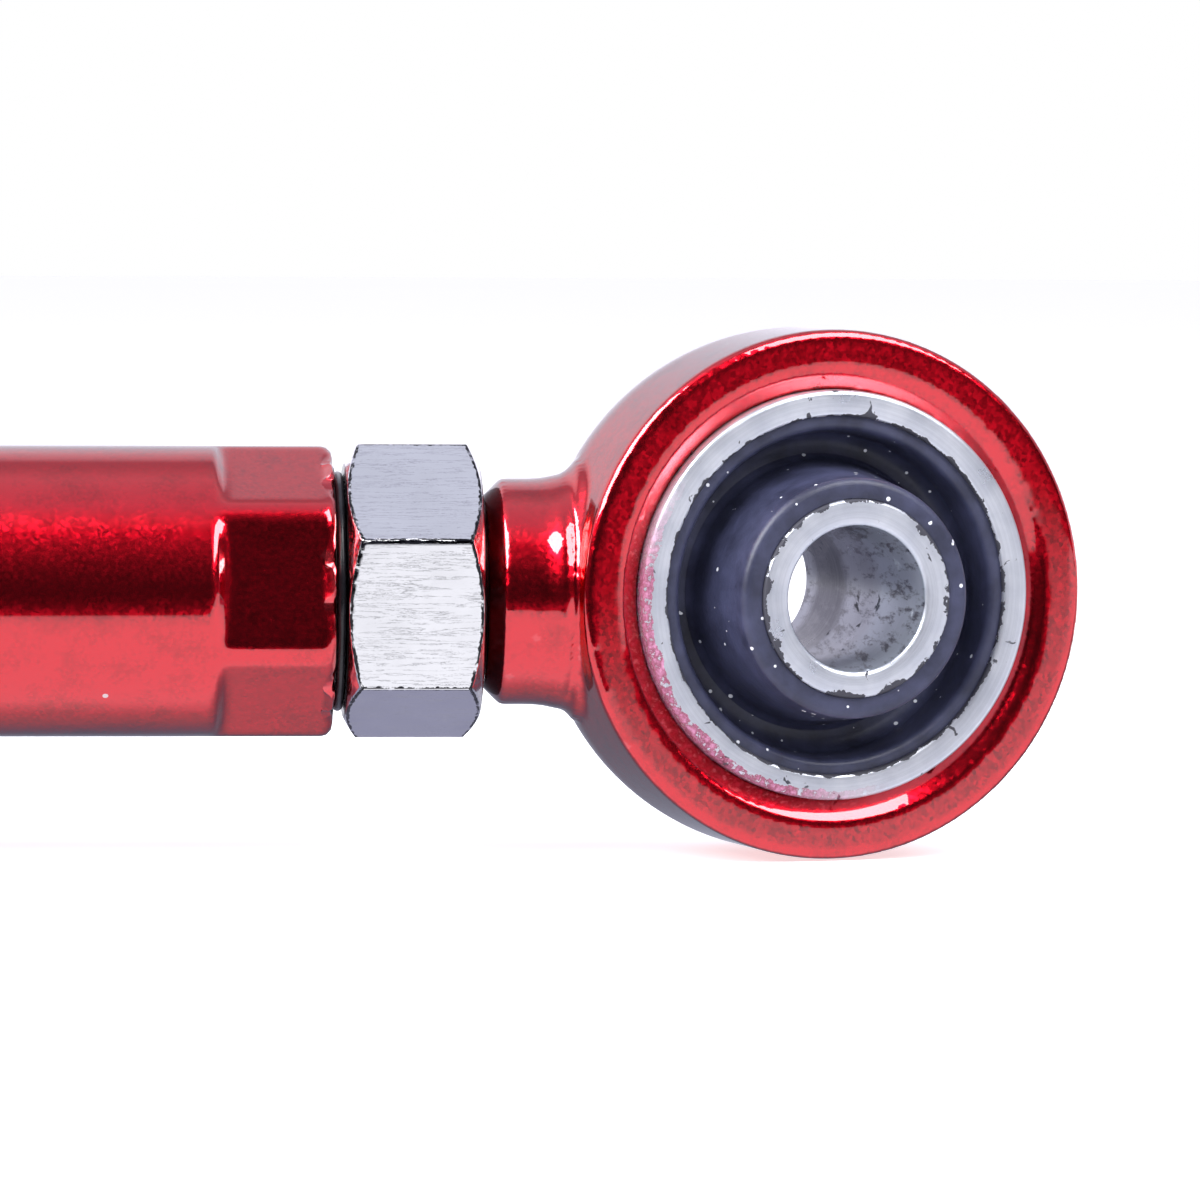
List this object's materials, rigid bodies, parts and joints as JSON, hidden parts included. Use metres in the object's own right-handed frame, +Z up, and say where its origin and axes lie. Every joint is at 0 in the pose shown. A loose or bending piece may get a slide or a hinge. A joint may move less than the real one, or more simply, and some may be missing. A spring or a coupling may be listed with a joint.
{
  "type": "adjustable suspension control arm",
  "caption": "Straight adjustable suspension link: a red turnbuckle tube with jam nuts between forged eyes, each with a bonded rubber bush and a bolt sleeve.",
  "frame": {"origin": "centre of the right bush, on its bolt axis", "axes": "+X along the arm towards the right end's tip, the arm runs along -X; the turned front faces of the right eye face -Y; +Z up; the level bolt axes lean 15 degrees from Y"},
  "size_m": [0.3588, 0.0482, 0.0552],
  "materials": {
    "red_coating": "translucent metallic red under a gloss clear coat",
    "zinc_steel": "turned steel with bright zinc plate",
    "nickel_plate": "bright nickel plate with fine scratches",
    "bush_rubber": "moulded natural rubber, satin",
    "seal_rubber": "glossy black seal"
  },
  "bodies": {
    "right_end": {"end_housing_right": "red_coating", "outer_sleeve_right": "zinc_steel", "rubber_bush_right": "bush_rubber"},
    "inner_sleeve_right": {"inner_sleeve_right": "zinc_steel"},
    "seal_ring_right": {"seal_ring_right": "seal_rubber"},
    "tube": {"turnbuckle_tube": "red_coating"},
    "jam_nut_right": {"jam_nut_right": "nickel_plate"},
    "jam_nut_left": {"jam_nut_left": "nickel_plate"},
    "seal_ring_left": {"seal_ring_left": "seal_rubber"},
    "left_end": {"end_housing_left": "red_coating", "outer_sleeve_left": "zinc_steel", "rubber_bush_left": "bush_rubber"},
    "inner_sleeve_left": {"inner_sleeve_left": "zinc_steel"}
  },
  "joints": [
    {"name": "right_thread_travel", "type": "slide", "parent": "right_end", "child": "seal_ring_right", "axis": [-1, 0, 0], "range_m": [0, 0.012]},
    {"name": "tube_turn", "type": "hinge", "parent": "seal_ring_right", "child": "tube", "pos_m": [-0.15, -0.0045, 0], "axis": [-1, 0, 0], "range_deg": [0, 2880]},
    {"name": "right_nut_loosen", "type": "hinge", "parent": "tube", "child": "jam_nut_right", "pos_m": [-0.041, -0.0045, 0], "axis": [1, 0, 0], "range_deg": [0, 45]},
    {"name": "left_nut_loosen", "type": "hinge", "parent": "tube", "child": "jam_nut_left", "pos_m": [-0.259, -0.0045, 0], "axis": [1, 0, 0], "range_deg": [0, 45]},
    {"name": "left_thread_turn", "type": "hinge", "parent": "tube", "child": "seal_ring_left", "pos_m": [-0.2514, -0.0045, 0], "axis": [-1, 0, 0], "range_deg": [-2880, 0]},
    {"name": "left_thread_travel", "type": "slide", "parent": "seal_ring_left", "child": "left_end", "axis": [-1, 0, 0], "range_m": [0, 0.012]},
    {"name": "right_bush_twist", "type": "hinge", "parent": "right_end", "child": "inner_sleeve_right", "pos_m": [0, 0, 0], "axis": [-0.2588, 0.9659, 0], "range_deg": [-15, 15], "stiffness_Nm_per_rad": 40},
    {"name": "left_bush_twist", "type": "hinge", "parent": "left_end", "child": "inner_sleeve_left", "pos_m": [-0.3, -0.009, 0], "axis": [-0.2588, 0.9659, 0], "range_deg": [-15, 15], "stiffness_Nm_per_rad": 40}
  ],
  "couplings": [
    {"joint": "right_thread_travel", "follows": "tube_turn", "m_per_rad": 0.00023873},
    {"joint": "left_thread_turn", "follows": "tube_turn", "ratio": -1},
    {"joint": "left_thread_travel", "follows": "tube_turn", "m_per_rad": 0.00023873}
  ]
}
